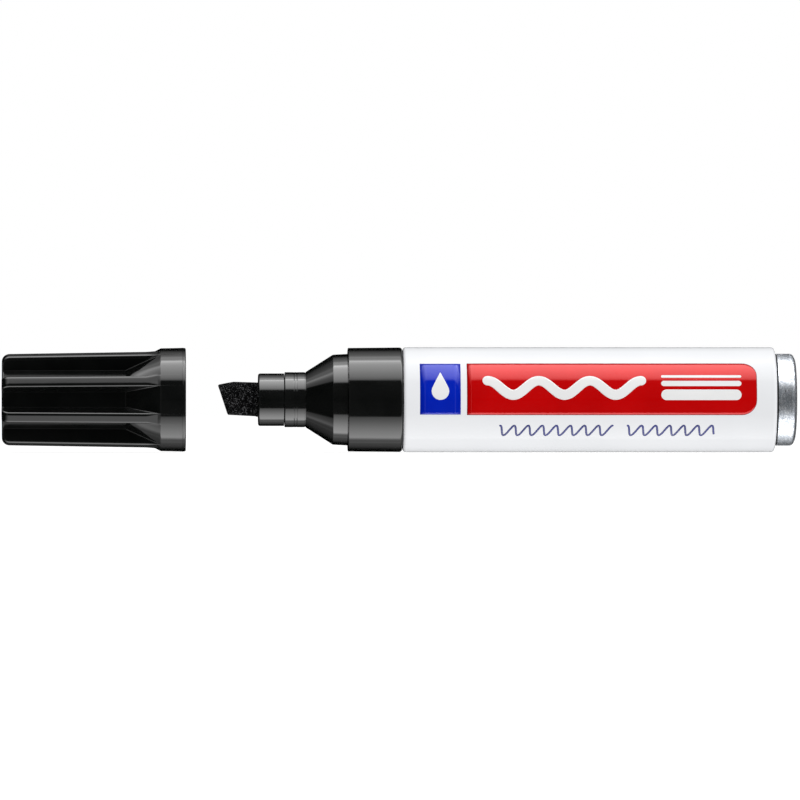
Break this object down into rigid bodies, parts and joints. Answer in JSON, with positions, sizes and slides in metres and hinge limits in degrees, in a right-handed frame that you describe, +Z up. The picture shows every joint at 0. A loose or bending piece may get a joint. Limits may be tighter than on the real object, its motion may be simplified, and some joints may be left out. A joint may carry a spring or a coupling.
{
  "type": "felt tip marker",
  "caption": "Jumbo felt tip marker with a round metal barrel, a flat chisel nib and a ribbed push-on cap, shown uncapped and lying down.",
  "frame": {"origin": "centre of the bounding box on the surface that the barrel lies on", "axes": "+X along the marker's axis from the cap's closed end towards the barrel's rear end, +Z up, the flat nib standing upright in the XZ plane"},
  "size_m": [0.1586, 0.021, 0.021],
  "materials": {
    "lacquered_metal": "gloss",
    "seal": "matte",
    "section_plastic": "gloss",
    "collar_plastic": "gloss",
    "sleeve_plastic": "gloss",
    "inked_felt": "matte",
    "inked_fibre": "matte",
    "film": "gloss",
    "cap_plastic": "gloss",
    "soft_plastic": "satin"
  },
  "bodies": {
    "marker": {"barrel": "lacquered_metal", "barrel_seal": "seal", "front_section": "section_plastic", "collar": "collar_plastic", "nib_sleeve": "sleeve_plastic", "felt_nib": "inked_felt", "ink_reservoir": "inked_fibre", "reservoir_film": "film"},
    "inner_cap": {"inner_cap": "soft_plastic"},
    "cap": {"cap_shell": "cap_plastic"}
  },
  "joints": [
    {"name": "cap_slide", "type": "slide", "parent": "marker", "child": "inner_cap", "axis": [1, 0, 0], "range_m": [0, 0.0323]},
    {"name": "cap_turn", "type": "hinge", "parent": "inner_cap", "child": "cap", "pos_m": [-0.0426, 0, 0.0105], "axis": [1, 0, 0], "continuous": true}
  ]
}
